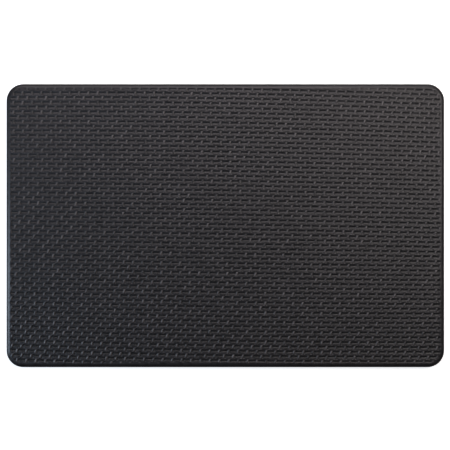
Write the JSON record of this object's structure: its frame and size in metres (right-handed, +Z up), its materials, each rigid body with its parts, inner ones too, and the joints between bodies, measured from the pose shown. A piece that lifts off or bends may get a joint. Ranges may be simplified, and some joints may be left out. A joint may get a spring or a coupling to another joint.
{
  "type": "anti fatigue mat",
  "caption": "Rectangular cushioned floor mat with rounded corners, rolled edges and a basket-weave embossed dark cover over layered foam and a grip base.",
  "frame": {"origin": "centre of the footprint, on the floor", "axes": "+X along the long side, +Y along the short side towards the far edge, +Z up to the standing face"},
  "size_m": [0.8636, 0.5588, 0.019],
  "materials": {
    "cover_skin": "embossed charcoal-black polyurethane skin, satin",
    "knit_backing": "fine knitted polyester, matte",
    "bond_film": "milky hot-melt film",
    "comfort_foam": "slow-rebound foam, fine open cells",
    "firm_foam": "dense polyurethane foam, fine closed cells",
    "grip_rubber": "black elastomer with raised grip nubs, matte"
  },
  "bodies": {
    "root": {"top_cover": "cover_skin", "cover_backing": "knit_backing", "upper_bond_film": "bond_film", "comfort_inlay": "comfort_foam", "edge_frame": "firm_foam", "support_slab": "firm_foam", "lower_bond_film": "bond_film", "base_sheet": "grip_rubber"}
  },
  "joints": []
}
